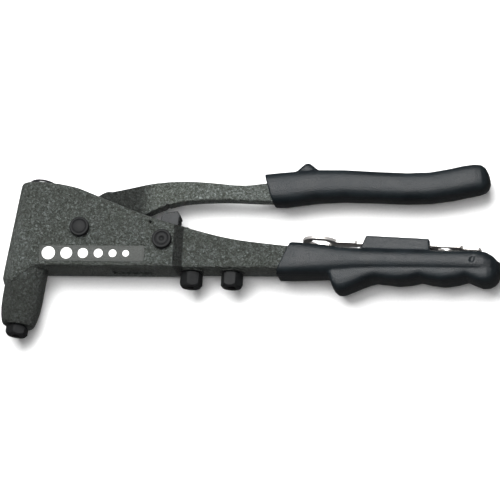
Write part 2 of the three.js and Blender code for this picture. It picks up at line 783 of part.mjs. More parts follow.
function jawPusher() {
  const shoulder = pusherShoulder;
  const tail = rodEnd + gap + pusherTravel + 0.4;
  return onNose([
    [mandrelRadius, tail], [springRadius - springWire - gap, tail],
    [springRadius - springWire - gap, shoulder], [caseBore - gap, shoulder],
    [caseBore - gap, shoulder + 1.8], [2.6, jawStart - gap], [mandrelRadius, jawStart - gap],
    [mandrelRadius, tail],
  ]);
}

// the pusher's spring, pressed against the draw rod's end
class Coil extends THREE.Curve {
  constructor(radius, start, end, turns) {
    super();
    Object.assign(this, { radius, start, end, turns });
  }

  getPoint(t, target = new THREE.Vector3()) {
    const angle = 2 * Math.PI * this.turns * t;
    const along = this.start + (this.end - this.start) * t;
    return target.set(this.radius * Math.cos(angle), along, this.radius * Math.sin(angle));
  }
}

function pusherSpring() {
  const start = rodEnd + gap + springWire;
  const end = pusherShoulder - pusherTravel - gap - springWire;
  const wire = new THREE.Shape();
  wire.absarc(0, 0, springWire, 0, 2 * Math.PI, false);
  const coil = new THREE.ExtrudeGeometry(wire, {
    steps: 12 * springTurns,
    curveSegments: 3,
    extrudePath: new Coil(springRadius, start, end, springTurns),
  });
  return solid(coil, noseFrame);
}

// ---------------------------------------------------------------- assembly
const tool = new THREE.Group();
const lever = new THREE.Group();
const carrier = new THREE.Group();
const fixed = new THREE.Group();
tool.add(fixed, lever, carrier);

fixed.add(
  mesh('body_casting', bodyCasting(), paint),
  mesh('lower_grip', lowerGrip(), rubber),
  mesh('rear_cap', rearCap(), glossBlack),
  mesh('stop_block', stopBlock(), blackOxide),
  mesh('spanner', spanner(), zinc),
);

const dished = [[3.6, 0], [3, -0.15], [0, -0.15]];
const dimpled = [[3.4, 0], [3.2, -0.2], [1.3, -0.2], [0.9, -0.7], [0, -0.9]];
fixed.add(
  mesh('lever_pivot_pin', headedPin(pivotPlace, pinRadius, bodyHalf, dished), blackOxide),
  mesh('pivot_retaining_ring', retainingRing(pivotPlace, pinRadius, bodyHalf), blackOxide),
);
const padFace = bodyHalf + padHeight;
fixed.add(
  mesh('stop_pin', headedPin(stopPinPlace, stopPinRadius, padFace, dimpled), blackOxide),
  mesh('stop_retaining_ring', retainingRing(stopPinPlace, stopPinRadius, padFace), blackOxide),
);

const fitted = mesh('fitted_nosepiece', nosepiece(nosepieceHead, fittedBore, fittedTurn), blackOxide);
fitted.applyMatrix4(noseFrame.clone()
  .multiply(new THREE.Matrix4().makeTranslation(0, barrelEnd, 0)));
fixed.add(fitted);
spareStations.forEach((station, i) => {
  const shape = nosepiece(spareHead, spareBores[i], spareTurns[i]);
  const spare = mesh(`spare_nosepiece_${i + 1}`, shape, blackOxide);
  spare.applyMatrix4(socketFrame(station)
    .multiply(new THREE.Matrix4().makeTranslation(0, bossHeight, 0)));
  fixed.add(spare);
});

lever.add(
  mesh('lever_arm', leverArm(), paint),
  mesh('upper_grip', upperGrip(), rubber),
);

carrier.add(
  mesh('draw_rod', drawRod(), brightSteel),
  mesh('jaw_case', jawCase(), brightSteel),
  mesh('jaw_pusher', jawPusher(), brightSteel),
  mesh('pusher_spring', pusherSpring(), brightSteel),
);
for (let i = 0; i < 3; i += 1) {
  carrier.add(mesh(`jaw_${i + 1}`, jaw(i), brightSteel));
}

// the origin is the middle of the underside of the tool's box
tool.updateMatrixWorld(true);
const extent = new THREE.Box3().setFromObject(tool, true);
const middle = extent.getCenter(new THREE.Vector3());
tool.position.set(-middle.x, -middle.y, -extent.min.z);

export default tool;
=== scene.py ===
"""Looks of the hand riveter: speckled cast body and lever, grained grips, black steel fittings.

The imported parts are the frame. The castings and grips are copies of their solids with rounded
edges and a fine surface. Pins, cap and nosepieces are turned again with finer profiles, and the
pressed pieces are copies with bevelled edges.
"""
import json
import math

import bmesh
import bpy
from mathutils import Matrix, Vector


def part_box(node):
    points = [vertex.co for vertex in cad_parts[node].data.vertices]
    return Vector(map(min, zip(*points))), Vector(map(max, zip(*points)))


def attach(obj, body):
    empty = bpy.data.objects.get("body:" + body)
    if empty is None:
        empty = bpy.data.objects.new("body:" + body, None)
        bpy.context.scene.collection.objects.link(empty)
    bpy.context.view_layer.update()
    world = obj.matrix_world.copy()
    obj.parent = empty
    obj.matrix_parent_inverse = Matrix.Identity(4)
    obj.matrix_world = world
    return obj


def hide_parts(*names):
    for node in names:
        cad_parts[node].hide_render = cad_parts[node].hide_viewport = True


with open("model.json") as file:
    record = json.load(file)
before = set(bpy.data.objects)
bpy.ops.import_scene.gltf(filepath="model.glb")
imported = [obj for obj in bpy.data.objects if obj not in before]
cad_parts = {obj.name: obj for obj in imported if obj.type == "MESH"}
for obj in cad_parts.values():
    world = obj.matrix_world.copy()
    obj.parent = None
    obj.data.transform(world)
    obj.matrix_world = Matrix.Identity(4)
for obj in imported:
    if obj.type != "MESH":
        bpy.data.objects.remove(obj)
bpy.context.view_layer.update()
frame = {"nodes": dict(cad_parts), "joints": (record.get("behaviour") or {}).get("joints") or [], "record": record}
nodes = frame["nodes"]
MM = 0.001

# the pivot pin's middle is the design origin that every size below is counted from
PIVOT = Vector(next(j for j in frame["joints"] if j["name"] == "lever_hinge")["pos_m"])
NOSE_LEAN = math.radians(6.7)
NOSE_AXIS = Vector((-math.sin(NOSE_LEAN), -math.cos(NOSE_LEAN), 0))
NOSE_TOP = PIVOT + Vector((-22.5, 24.4, 0)) * MM


def at(x, y, z):
    """A place given in millimetres from the pivot."""
    return PIVOT + Vector((x, y, z)) * MM


# ---------------------------------------------------------------------- camera
CAMERA_TURN = math.radians(11)
CAMERA_TILT = math.radians(16)
CAMERA_ROLL = math.radians(3.5)
CAMERA_DISTANCE = 6.0
FRAME_WIDTH = 0.254
SENSOR = 36.0
AIM = (86.605, -8.131, 0)


def make_camera():
    across = Vector((math.cos(CAMERA_TURN), 0, -math.sin(CAMERA_TURN)))
    back = Vector((
        math.sin(CAMERA_TURN) * math.cos(CAMERA_TILT),
        -math.sin(CAMERA_TILT),
        math.cos(CAMERA_TURN) * math.cos(CAMERA_TILT),
    ))
    up = back.cross(across)
    right = across * math.cos(CAMERA_ROLL) + up * math.sin(CAMERA_ROLL)
    top = up * math.cos(CAMERA_ROLL) - across * math.sin(CAMERA_ROLL)
    data = bpy.data.cameras.new("camera")
    data.sensor_width = SENSOR
    data.lens = SENSOR * CAMERA_DISTANCE / FRAME_WIDTH
    data.clip_start = 0.1
    data.clip_end = 30
    camera = bpy.data.objects.new("camera", data)
    bpy.context.scene.collection.objects.link(camera)
    aim = at(*AIM) + back * CAMERA_DISTANCE
    camera.matrix_world = Matrix((
        (right.x, top.x, back.x, aim.x),
        (right.y, top.y, back.y, aim.y),
        (right.z, top.z, back.z, aim.z),
        (0, 0, 0, 1),
    ))
    bpy.context.scene.camera = camera


# ---------------------------------------------------------------------- stage
def make_floor():
    bm = bmesh.new()
    bmesh.ops.create_grid(bm, x_segments=1, y_segments=1, size=4)
    mesh = bpy.data.meshes.new("floor")
    bm.to_mesh(mesh)
    bm.free()
    floor = bpy.data.objects.new("floor", mesh)
    bpy.context.scene.collection.objects.link(floor)
    material, tree, shader = new_material("floor_paper")
    shader.inputs["Roughness"].default_value = 0.9
    shader.inputs["Specular IOR Level"].default_value = 0.2
    grain = noise(tree, scale=900, detail=3)
    paper = grey_ramp(tree, grain, 0.35, 0.65, 0.83, 0.86)
    tree.links.new(paper, shader.inputs["Base Color"])
    mesh.materials.append(material)
    # kept out of reflections, so that the lower sides stay dark as in the photo
    floor.visible_glossy = False


def area_light(name, place, target, width, height, power):
    data = bpy.data.lights.new(name, "AREA")
    data.shape = "RECTANGLE"
    data.size = width
    data.size_y = height
    data.energy = power
    light = bpy.data.objects.new(name, data)
    bpy.context.scene.collection.objects.link(light)
    light.location = place
    light.rotation_mode = "QUATERNION"
    light.rotation_quaternion = (Vector(target) - Vector(place)).to_track_quat("-Z", "Y")
    light.visible_camera = False


# name, place from the middle of the tool, width, height (metres), power (watts)
LIGHTS = (
    ("key", (-0.20, 0.52, 1.42), 1.3, 1.0, 56),
    ("top", (0.25, -0.30, 1.6), 1.0, 1.0, 12),
)
LIT_MIDDLE = (95, 0, 0)
WORLD_STRENGTH = 0.10


def make_lights():
    middle = at(*LIT_MIDDLE)
    for name, offset, width, height, power in LIGHTS:
        area_light(name, middle + Vector(offset), middle, width, height, power)
    world = bpy.data.worlds.new("studio")
    world.use_nodes = True
    background = world.node_tree.nodes["Background"]
    background.inputs["Color"].default_value = (1, 1, 1, 1)
    background.inputs["Strength"].default_value = WORLD_STRENGTH
    bpy.context.scene.world = world
    bpy.context.scene.view_settings.view_transform = "Standard"


# ---------------------------------------------------------------------- material helpers
def new_material(name):
    material = bpy.data.materials.new(name)
    material.use_nodes = True
    tree = material.node_tree
    return material, tree, tree.nodes["Principled BSDF"]


def place_of(tree):
    node = tree.nodes.get("place")
    if node is None:
        node = tree.nodes.new("ShaderNodeTexCoord")
        node.name = "place"
    return node.outputs["Object"]


def noise(tree, scale, detail=2.0, roughness=0.5, distortion=0.0):
    node = tree.nodes.new("ShaderNodeTexNoise")
    node.inputs["Scale"].default_value = scale
    node.inputs["Detail"].default_value = detail
    node.inputs["Roughness"].default_value = roughness
    node.inputs["Distortion"].default_value = distortion
    tree.links.new(place_of(tree), node.inputs["Vector"])
    return node.outputs["Fac"]


def cells(tree, scale):
    node = tree.nodes.new("ShaderNodeTexVoronoi")
    node.inputs["Scale"].default_value = scale
    tree.links.new(place_of(tree), node.inputs["Vector"])
    return node.outputs["Distance"]


def ramp(tree, source, stops):
    node = tree.nodes.new("ShaderNodeValToRGB")
    elements = node.color_ramp.elements
    while len(elements) < len(stops):
        elements.new(0.5)
    for element, (place, colour) in zip(elements, stops):
        element.position = place
        element.color = colour
    tree.links.new(source, node.inputs["Fac"])
    return node.outputs["Color"]


def grey_ramp(tree, source, low, high, dark, light):
    stops = ((low, (dark, dark, dark, 1)), (high, (light, light, light, 1)))
    return ramp(tree, source, stops)


# the mix node's sockets for colours, which share their names with those for other types
MIX_FACTOR, MIX_FIRST, MIX_SECOND, MIX_RESULT = 0, 6, 7, 2


def product(tree, first, second):
    """Two colours multiplied."""
    node = tree.nodes.new("ShaderNodeMix")
    node.data_type = "RGBA"
    node.blend_type = "MULTIPLY"
    node.inputs[MIX_FACTOR].default_value = 1
    tree.links.new(first, node.inputs[MIX_FIRST])
    tree.links.new(second, node.inputs[MIX_SECOND])
    return node.outputs[MIX_RESULT]


def total(tree, first, second, weight):
    """first + second * weight"""
    node = tree.nodes.new("ShaderNodeMath")
    node.operation = "MULTIPLY_ADD"
    tree.links.new(second, node.inputs[0])
    node.inputs[1].default_value = weight
    tree.links.new(first, node.inputs[2])
    return node.outputs["Value"]


def bump(tree, shader, height, strength, distance):
    node = tree.nodes.new("ShaderNodeBump")
    node.inputs["Strength"].default_value = strength
    node.inputs["Distance"].default_value = distance
    tree.links.new(height, node.inputs["Height"])
    tree.links.new(node.outputs["Normal"], shader.inputs["Normal"])


def map_range(tree, source, low, high, to_low=0.0, to_high=1.0):
    node = tree.nodes.new("ShaderNodeMapRange")
    node.inputs["From Min"].default_value = low
    node.inputs["From Max"].default_value = high
    node.inputs["To Min"].default_value = to_low
    node.inputs["To Max"].default_value = to_high
    tree.links.new(source, node.inputs["Value"])
    return node.outputs["Result"]


def arithmetic(tree, operation, first, second):
    node = tree.nodes.new("ShaderNodeMath")
    node.operation = operation
    tree.links.new(first, node.inputs[0])
    tree.links.new(second, node.inputs[1])
    return node.outputs["Value"]


def axes_of(tree):
    split = tree.nodes.new("ShaderNodeSeparateXYZ")
    tree.links.new(place_of(tree), split.inputs["Vector"])
    return split.outputs


def range_shade(tree, low, high, soft, tone):
    """White, but `tone` in a range of X in millimetres from the pivot, with soft ends."""
    along = axes_of(tree)["X"]
    rise = map_range(tree, along, at(low - soft, 0, 0).x, at(low + soft, 0, 0).x)
    fall = map_range(tree, along, at(high + soft, 0, 0).x, at(high - soft, 0, 0).x)
    inside = arithmetic(tree, "MULTIPLY", rise, fall)
    return grey_ramp(tree, inside, 0, 1, 1, tone)


# ---------------------------------------------------------------------- materials
def painted_band_shade(tree):
    """Painted shade on the smooth sloped band between body and shank."""
    return range_shade(tree, low=48.9, high=53.6, soft=0.25, tone=0.28)


def cheek_shade(tree):
    """The lever's hub, in the shade of the body's cheeks."""
    return range_shade(tree, low=-60, high=33, soft=4, tone=0.25)


COLLAR_FRONT = (-34.6, -28.6, 0)
COLLAR_REAR = (-24, -20.6, 0)
COLLAR_REACH = 2 * MM
# painted shade from above the collar's line to below it: full tone, the dark crease, the darker barrel
COLLAR_SHADE_TONES = ((0.40, 1.0), (0.5, 0.2), (0.62, 0.55))


def painted_barrel_shade(tree):
    """Painted shade on the barrel, darker below the collar, which sweeps up to the body's lower edge."""
    axes = axes_of(tree)
    front = at(*COLLAR_FRONT)
    rear = at(*COLLAR_REAR)
    collar = map_range(tree, axes["X"], front.x, rear.x, front.y, rear.y)
    below = arithmetic(tree, "SUBTRACT", collar, axes["Y"])
    depth = map_range(tree, below, -COLLAR_REACH, COLLAR_REACH)
    stops = tuple((place, (tone, tone, tone, 1)) for place, tone in COLLAR_SHADE_TONES)
    return ramp(tree, depth, stops)


def cast_paint(name, gain, shades):
    """Dark olive-black stoved paint with blue-grey flakes over a pebbled casting.

    `gain` scales the paint's tone, which on the lever is set lighter as painted sheen, and `shades` are functions
    that paint shade onto parts of the casting.
    """
    material, tree, shader = new_material(name)
    pebbles = noise(tree, scale=900, detail=2.5, roughness=0.6, distortion=0.9)
    flakes = noise(tree, scale=2100, detail=2, roughness=0.6)
    broad = noise(tree, scale=45, detail=3)
    base = ramp(tree, pebbles, (
        (0.34, (0.011, 0.012, 0.010, 1)),
        (0.52, (0.024, 0.0265, 0.0245, 1)),
        (0.68, (0.056, 0.062, 0.060, 1)),
    ))
    sparkle = ramp(tree, flakes, (
        (0.38, (0.75, 0.75, 0.75, 1)),
        (0.56, (1.0, 1.0, 1.0, 1)),
        (0.72, (1.6, 1.7, 1.7, 1)),
    ))
    low = gain * 0.82
    patches = ramp(tree, broad, (
        (0.35, (low, low, low * 0.96, 1)),
        (0.7, (gain, gain, gain, 1)),
    ))
    colour = product(tree, product(tree, base, sparkle), patches)
    for shade in shades:
        colour = product(tree, colour, shade(tree))
    tree.links.new(colour, shader.inputs["Base Color"])
    tree.links.new(grey_ramp(tree, flakes, 0.35, 0.7, 0.30, 0.46), shader.inputs["Roughness"])
    shader.inputs["Metallic"].default_value = 0.25
    shader.inputs["Specular IOR Level"].default_value = 0.34
    bump(tree, shader, total(tree, pebbles, flakes, 0.35), 1.0, 0.0018)
    return material


def panel_paint():
    """The same paint on the smoother panel."""
    material, tree, shader = new_material("panel_paint")
    cloud = noise(tree, scale=1500, detail=3, roughness=0.6)
    base = ramp(tree, cloud, (
        (0.35, (0.020, 0.022, 0.019, 1)),
        (0.65, (0.044, 0.048, 0.045, 1)),
    ))
    tree.links.new(base, shader.inputs["Base Color"])
    tree.links.new(grey_ramp(tree, cloud, 0.35, 0.7, 0.38, 0.5), shader.inputs["Roughness"])
    shader.inputs["Specular IOR Level"].default_value = 0.3
    bump(tree, shader, cloud, 0.8, 0.0005)
    return material


def grip_plastic():
    material, tree, shader = new_material("grained_grip_plastic")
    grain = cells(tree, scale=1900)
    cloud = noise(tree, scale=90, detail=4, roughness=0.6)
    fine = noise(tree, scale=2600, detail=2)
    base = ramp(tree, cloud, (
        (0.3, (0.0038, 0.0056, 0.0070, 1)),
        (0.7, (0.0072, 0.0104, 0.0126, 1)),
    ))
    tree.links.new(base, shader.inputs["Base Color"])
    tree.links.new(grey_ramp(tree, cloud, 0.3, 0.7, 0.36, 0.50), shader.inputs["Roughness"])
    shader.inputs["Specular IOR Level"].default_value = 0.25
    bump(tree, shader, total(tree, grain, fine, 0.8), 0.65, 0.00018)
    return material


def black_steel(name, dark, light):
    material, tree, shader = new_material(name)
    cloud = noise(tree, scale=260, detail=4, roughness=0.65)
    fine = noise(tree, scale=2200, detail=2)
    base = ramp(tree, cloud, (
        (0.3, (dark, dark * 1.05, dark * 1.08, 1)),
        (0.7, (light, light * 1.05, light * 1.08, 1)),
    ))
    tree.links.new(base, shader.inputs["Base Color"])
    tree.links.new(grey_ramp(tree, cloud, 0.3, 0.7, 0.42, 0.6), shader.inputs["Roughness"])
    shader.inputs["Specular IOR Level"].default_value = 0.09
    bump(tree, shader, total(tree, cloud, fine, 0.6), 0.4, 0.0001)
    return material


def marking_white():
    """Thick white paint on the raised marks."""
    material, tree, shader = new_material("marking_white_paint")
    cloud = noise(tree, scale=900, detail=3)
    base = ramp(tree, cloud, (
        (0.3, (0.74, 0.74, 0.73, 1)),
        (0.6, (0.88, 0.88, 0.87, 1)),
    ))
    tree.links.new(base, shader.inputs["Base Color"])
    tree.links.new(grey_ramp(tree, cloud, 0.3, 0.7, 0.35, 0.5), shader.inputs["Roughness"])
    bump(tree, shader, cloud, 0.3, 0.00008)
    return material


def gloss_black():
    material, tree, shader = new_material("gloss_black_cap")
    cloud = noise(tree, scale=180, detail=3)
    base = ramp(tree, cloud, (
        (0.35, (0.006, 0.006, 0.007, 1)),
        (0.7, (0.016, 0.016, 0.018, 1)),
    ))
    tree.links.new(base, shader.inputs["Base Color"])
    tree.links.new(grey_ramp(tree, cloud, 0.3, 0.7, 0.16, 0.3), shader.inputs["Roughness"])
    shader.inputs["Coat Weight"].default_value = 0.4
    bump(tree, shader, cloud, 0.2, 0.00008)
    return material


def zinc_plate():
    material, tree, shader = new_material("bright_zinc_plate")
    stretch = tree.nodes.new("ShaderNodeMapping")
    stretch.inputs["Scale"].default_value = (0.12, 1, 1)
    tree.links.new(place_of(tree), stretch.inputs["Vector"])
    lines = tree.nodes.new("ShaderNodeTexNoise")
    lines.inputs["Scale"].default_value = 2600
    lines.inputs["Detail"].default_value = 3
    tree.links.new(stretch.outputs["Vector"], lines.inputs["Vector"])
    cloud = noise(tree, scale=150, detail=3)
    base = ramp(tree, cloud, (
        (0.3, (0.60, 0.57, 0.54, 1)),
        (0.7, (0.78, 0.76, 0.74, 1)),
    ))
    tree.links.new(base, shader.inputs["Base Color"])
    shader.inputs["Metallic"].default_value = 0.75
    scratches = lines.outputs["Fac"]
    tree.links.new(grey_ramp(tree, scratches, 0.3, 0.7, 0.28, 0.42), shader.inputs["Roughness"])
    bump(tree, shader, scratches, 0.2, 0.00002)
    return material


def bright_steel():
    material, tree, shader = new_material("turned_bright_steel")
    cloud = noise(tree, scale=300, detail=3)
    rings = noise(tree, scale=1800, detail=2)
    base = ramp(tree, cloud, (
        (0.3, (0.40, 0.40, 0.41, 1)),
        (0.7, (0.55, 0.55, 0.56, 1)),
    ))
    tree.links.new(base, shader.inputs["Base Color"])
    shader.inputs["Metallic"].default_value = 1
    tree.links.new(grey_ramp(tree, rings, 0.3, 0.7, 0.25, 0.42), shader.inputs["Roughness"])
    bump(tree, shader, rings, 0.2, 0.00004)
    return material


# ---------------------------------------------------------------------- shape helpers
def body_of_node(name):
    groups = frame["record"]["behaviour"]["bodies"]
    return next(body for body, members in groups.items() if name in members)


def copy_of(node, name):
    piece = bpy.data.objects.new(name, nodes[node].data.copy())
    piece.data.materials.clear()
    bpy.context.scene.collection.objects.link(piece)
    return piece


def apply_modifiers(piece):
    graph = bpy.context.evaluated_depsgraph_get()
    graph.update()
    shaped = bpy.data.meshes.new_from_object(piece.evaluated_get(graph))
    old = piece.data
    piece.modifiers.clear()
    piece.data = shaped
    bpy.data.meshes.remove(old)


SMOOTH_FACTOR = 0.5
DENT_DETAIL = 2
DENT_LEVEL = 0.9


def remesh(piece, voxel, rounds):
    """One even skin of small faces, with the edges rounded by `rounds` of smoothing."""
    modifier = piece.modifiers.new("remesh", "REMESH")
    modifier.mode = "VOXEL"
    modifier.voxel_size = voxel
    modifier.use_smooth_shade = True
    smooth = piece.modifiers.new("smooth", "SMOOTH")
    smooth.factor = SMOOTH_FACTOR
    smooth.iterations = rounds
    apply_modifiers(piece)


def roughen(piece, amount, size):
    """Moves the skin by up to `amount`, mostly inwards, in a cloudy pattern."""
    texture = bpy.data.textures.new(piece.name + "_dents", "CLOUDS")
    texture.noise_scale = size
    texture.noise_depth = DENT_DETAIL
    modifier = piece.modifiers.new("dents", "DISPLACE")
    modifier.texture = texture
    modifier.texture_coords = "LOCAL"
    modifier.strength = amount
    modifier.mid_level = DENT_LEVEL
    apply_modifiers(piece)


def finish_piece(piece, node, material, sharp=None):
    """Gives the piece its material and lets it stand for the CAD node on that node's body.

    Edges over `sharp` degrees stay sharp; without it the whole piece is smooth.
    """
    piece.data.materials.clear()
    piece.data.materials.append(material)
    for polygon in piece.data.polygons:
        polygon.use_smooth = True
        polygon.material_index = 0
    if sharp:
        piece.data.set_sharp_from_angle(angle=math.radians(sharp))
    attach(piece, body_of_node(node))
    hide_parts(node)


def keep_inside(piece, node):
    """Holds every vertex inside the solid's own box."""
    low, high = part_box(node)
    for vertex in piece.data.vertices:
        for axis in range(3):
            vertex.co[axis] = min(max(vertex.co[axis], low[axis]), high[axis])


# ---------------------------------------------------------------------- castings and grips
CAST_VOXEL = 0.36 * MM
CAST_ROUNDS = 2
CAST_FACES = 190_000
DENT_DEPTH = 0.1 * MM
DENT_SIZE = 1.0 * MM
GRIP_VOXEL = 0.45 * MM
GRIP_ROUNDS = 8


def thin(piece, most):
    """Takes out the faces that flat places don't need, down to `most` triangles."""
    piece.data.calc_loop_triangles()
    count = len(piece.data.loop_triangles)
    if count > most:
        modifier = piece.modifiers.new("thin", "DECIMATE")
        modifier.ratio = most / count
        apply_modifiers(piece)


def casting(node, material):
    piece = copy_of(node, node + "_skin")
    remesh(piece, CAST_VOXEL, CAST_ROUNDS)
    roughen(piece, DENT_DEPTH, DENT_SIZE)
    thin(piece, CAST_FACES)
    keep_inside(piece, node)
    finish_piece(piece, node, material)


def grip(node, material):
    piece = copy_of(node, node + "_skin")
    remesh(piece, GRIP_VOXEL, GRIP_ROUNDS)
    keep_inside(piece, node)
    finish_piece(piece, node, material)


# ---------------------------------------------------------------------- turned pieces
# sizes in millimetres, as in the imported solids
TURN_STEPS = 96
QUARTER_TURN = [math.radians(15 * step) for step in range(7)]
GAP = 0.3
SIDEWAYS = Vector((1, 0, 0))
UPWARDS = Vector((0, 0, 1))


def rings_to_piece(name, rings, closed):
    """A skin through rings of points, which closes on itself or has a point at each end."""
    bm = bmesh.new()
    rows = [[bm.verts.new(point) for point in ring] for ring in rings]
    following = rows[1:] + rows[:1] if closed else rows[1:]
    for first, second in zip(rows, following):
        count = max(len(first), len(second))
        for i in range(count):
            j = (i + 1) % count
            corners = []
            for vertex in (
                first[i % len(first)], first[j % len(first)],
                second[j % len(second)], second[i % len(second)],
            ):
                if vertex not in corners:
                    corners.append(vertex)
            bm.faces.new(corners)
    bmesh.ops.recalc_face_normals(bm, faces=bm.faces)
    mesh = bpy.data.meshes.new(name)
    bm.to_mesh(mesh)
    bm.free()
    piece = bpy.data.objects.new(name, mesh)
    bpy.context.scene.collection.objects.link(piece)
    return piece


def turned(name, origin, direction, corner, profile, hex_rows=0, closed=False):
    """A piece turned about an axis from [radius, height] in millimetres.

    The first `hex_rows` of the profile are held to a hexagon with an edge towards `corner`.
    """
    side = direction.cross(corner)
    rings = []
    for index, (radius, height) in enumerate(profile):
        middle = origin + direction * height * MM
        if radius == 0:
            rings.append([middle])
            continue
        ring = []
        for step in range(TURN_STEPS):
            angle = 2 * math.pi * step / TURN_STEPS
            reach = radius
            if index < hex_rows:
                from_flat = angle % math.radians(60) - math.radians(30)
                reach = min(reach, HEX_FLATS / 2 / math.cos(from_flat))
            arm = corner * math.cos(angle) + side * math.sin(angle)
            ring.append(middle + arm * reach * MM)
        rings.append(ring)
    return rings_to_piece(name, rings, closed)


PIN_HEAD = 5.0
PIN_HEAD_HEIGHT = 2.3
PIN_HEAD_ROUND = 0.6
PIN_HEAD_EDGE = 0.2
PIN_TAIL = 2.0
PIN_CHAMFER = 0.5
RING_GROOVE_WIDTH = 1.0
RING_GROOVE_DEPTH = 0.9
# the middle of a head: [radius, height above the rim]
DISHED = (
    (3.9, 0), (3.75, -0.08), (3.6, -0.28), (3.4, -0.34), (3.15, -0.22), (2.9, -0.12), (0, -0.1),
)
DIMPLED = (
    (3.7, 0), (3.5, -0.12), (3.35, -0.36), (3.15, -0.42), (2.9, -0.26), (1.5, -0.2),
    (1.25, -0.3), (0.9, -0.65), (0.5, -0.88), (0, -0.9),
)


def pin(node, place, radius, seat, face, material):
    """A headed pin with softly rounded head and a groove for its ring.

    `seat` is the height of the face that the head sits on, and `face` the middle of the head.
    """
    groove = -seat - GAP
    tail = groove - PIN_TAIL
    under = seat + GAP
    top = under + PIN_HEAD_HEIGHT
    floor = radius - RING_GROOVE_DEPTH
    profile = [
        (0, tail), (radius - PIN_CHAMFER, tail), (radius, tail + PIN_CHAMFER),
        (radius, groove - RING_GROOVE_WIDTH), (floor, groove - RING_GROOVE_WIDTH),
        (floor, groove), (radius, groove), (radius, under),
        (PIN_HEAD - PIN_HEAD_EDGE, under), (PIN_HEAD, under + PIN_HEAD_EDGE),
    ]
    for angle in QUARTER_TURN:
        profile.append((
            PIN_HEAD - PIN_HEAD_ROUND * (1 - math.cos(angle)),
            top - PIN_HEAD_ROUND * (1 - math.sin(angle)),
        ))
    profile += [(reach, top + depth) for reach, depth in face]
    piece = turned(node + "_turned", at(*place, 0), UPWARDS, SIDEWAYS, profile)
    finish_piece(piece, node, material, sharp=40)


CAP_RADIUS = 7.1
CAP_HEIGHT = 3.5
CAP_SIDE = 1.0
CAP_DOME = 2.45
CAP_EDGE = 0.2
CAP_PLUG = 6.3
CAP_PLUG_DEPTH = 9
CAP_PLUG_CHAMFER = 0.8


def rear_cap(material):
    """A domed cap with a plug in the bore. Heights run down the bore from its rear end."""
    profile = [
        (0, CAP_PLUG_DEPTH), (CAP_PLUG - CAP_PLUG_CHAMFER, CAP_PLUG_DEPTH),
        (CAP_PLUG, CAP_PLUG_DEPTH - CAP_PLUG_CHAMFER), (CAP_PLUG, -GAP),
        (CAP_RADIUS - CAP_EDGE, -GAP), (CAP_RADIUS, -GAP - CAP_EDGE),
    ]
    for step in range(1, 12):
        angle = math.radians(7.5 * step)
        profile.append((CAP_RADIUS * math.cos(angle), -CAP_SIDE - CAP_DOME * math.sin(angle)))
    profile.append((0, -CAP_HEIGHT))
    piece = turned("rear_cap_turned", NOSE_TOP, NOSE_AXIS, UPWARDS, profile)
    finish_piece(piece, "rear_cap", material, sharp=50)


HEX_FLATS = 10
HEX_CORNER = HEX_FLATS / 2 / math.cos(math.radians(30))
HEX_EDGE = 0.5
HEX_SLOPE = 1.3
HEX_SLOPE_ROWS = 10
HEX_END = HEX_FLATS / 2 - 0.3
HEX_END_EDGE = 0.4
HOLE_EDGE = 0.45
SHANK_RADIUS = 4
SHANK_DEPTH = 6
SHANK_CHAMFER = 0.6


def nosepiece(node, origin, direction, corner, head, hole, material):
    """A chamfered hexagon with a mandrel hole and, behind it, the shank in its socket."""
    profile = [(HEX_CORNER - HEX_EDGE, GAP), (HEX_CORNER, GAP + HEX_EDGE)]
    for step in range(HEX_SLOPE_ROWS + 1):
        share = step / HEX_SLOPE_ROWS
        profile.append((
            HEX_CORNER + (HEX_END - HEX_CORNER) * share,
            head - HEX_SLOPE * (1 - share),
        ))
    hex_rows = len(profile)
    profile += [
        (HEX_END - HEX_END_EDGE, head), (hole + HOLE_EDGE, head), (hole, head - HOLE_EDGE),
        (hole, -SHANK_DEPTH), (SHANK_RADIUS - SHANK_CHAMFER, -SHANK_DEPTH),
        (SHANK_RADIUS, -SHANK_DEPTH + SHANK_CHAMFER), (SHANK_RADIUS, GAP),
    ]
    name = node + "_turned"
    piece = turned(name, origin, direction, corner, profile, hex_rows, closed=True)
    finish_piece(piece, node, material, sharp=35)


BARREL_END = 74.5
FITTED_TURN = 8
FITTED_HEAD = 5
FITTED_HOLE = 1.7
SPARE_SEAT = -20.7
SPARE_HEAD = 7.6
# place along the body, turn in degrees and radius of the hole
SPARES = ((57.3, 12, 1.35), (78.3, 34, 2.0))


def nosepieces(material):
    end = NOSE_TOP + NOSE_AXIS * BARREL_END * MM
    across = Vector((-math.cos(NOSE_LEAN), math.sin(NOSE_LEAN), 0))
    turn = math.radians(FITTED_TURN)
    corner = across * math.sin(turn) + UPWARDS * math.cos(turn)
    nosepiece("fitted_nosepiece", end, NOSE_AXIS, corner, FITTED_HEAD, FITTED_HOLE, material)
    for index, (station, degrees, hole) in enumerate(SPARES):
        node = f"spare_nosepiece_{index + 1}"
        turn = math.radians(degrees)
        corner = Vector((math.sin(turn), 0, -math.cos(turn)))
        origin = at(station, SPARE_SEAT, 0)
        nosepiece(node, origin, Vector((0, -1, 0)), corner, SPARE_HEAD, hole, material)


# ---------------------------------------------------------------------- pressed pieces
WELD_DISTANCE = 0.002 * MM
FLAT_ANGLE = 0.5
BEVEL_ANGLE = 28


def bevelled(node, material, width):
    """A copy of the solid with its sharp edges rounded."""
    piece = copy_of(node, node + "_piece")
    weld = piece.modifiers.new("weld", "WELD")
    weld.merge_threshold = WELD_DISTANCE
    apply_modifiers(piece)
    flatten = piece.modifiers.new("flat", "DECIMATE")
    flatten.decimate_type = "DISSOLVE"
    flatten.angle_limit = math.radians(FLAT_ANGLE)
    apply_modifiers(piece)
    bevel = piece.modifiers.new("bevel", "BEVEL")
    bevel.width = width
    bevel.segments = 2
    bevel.limit_method = "ANGLE"
    bevel.angle_limit = math.radians(BEVEL_ANGLE)
    bevel.use_clamp_overlap = True
    apply_modifiers(piece)
    keep_inside(piece, node)
    finish_piece(piece, node, material, sharp=32)


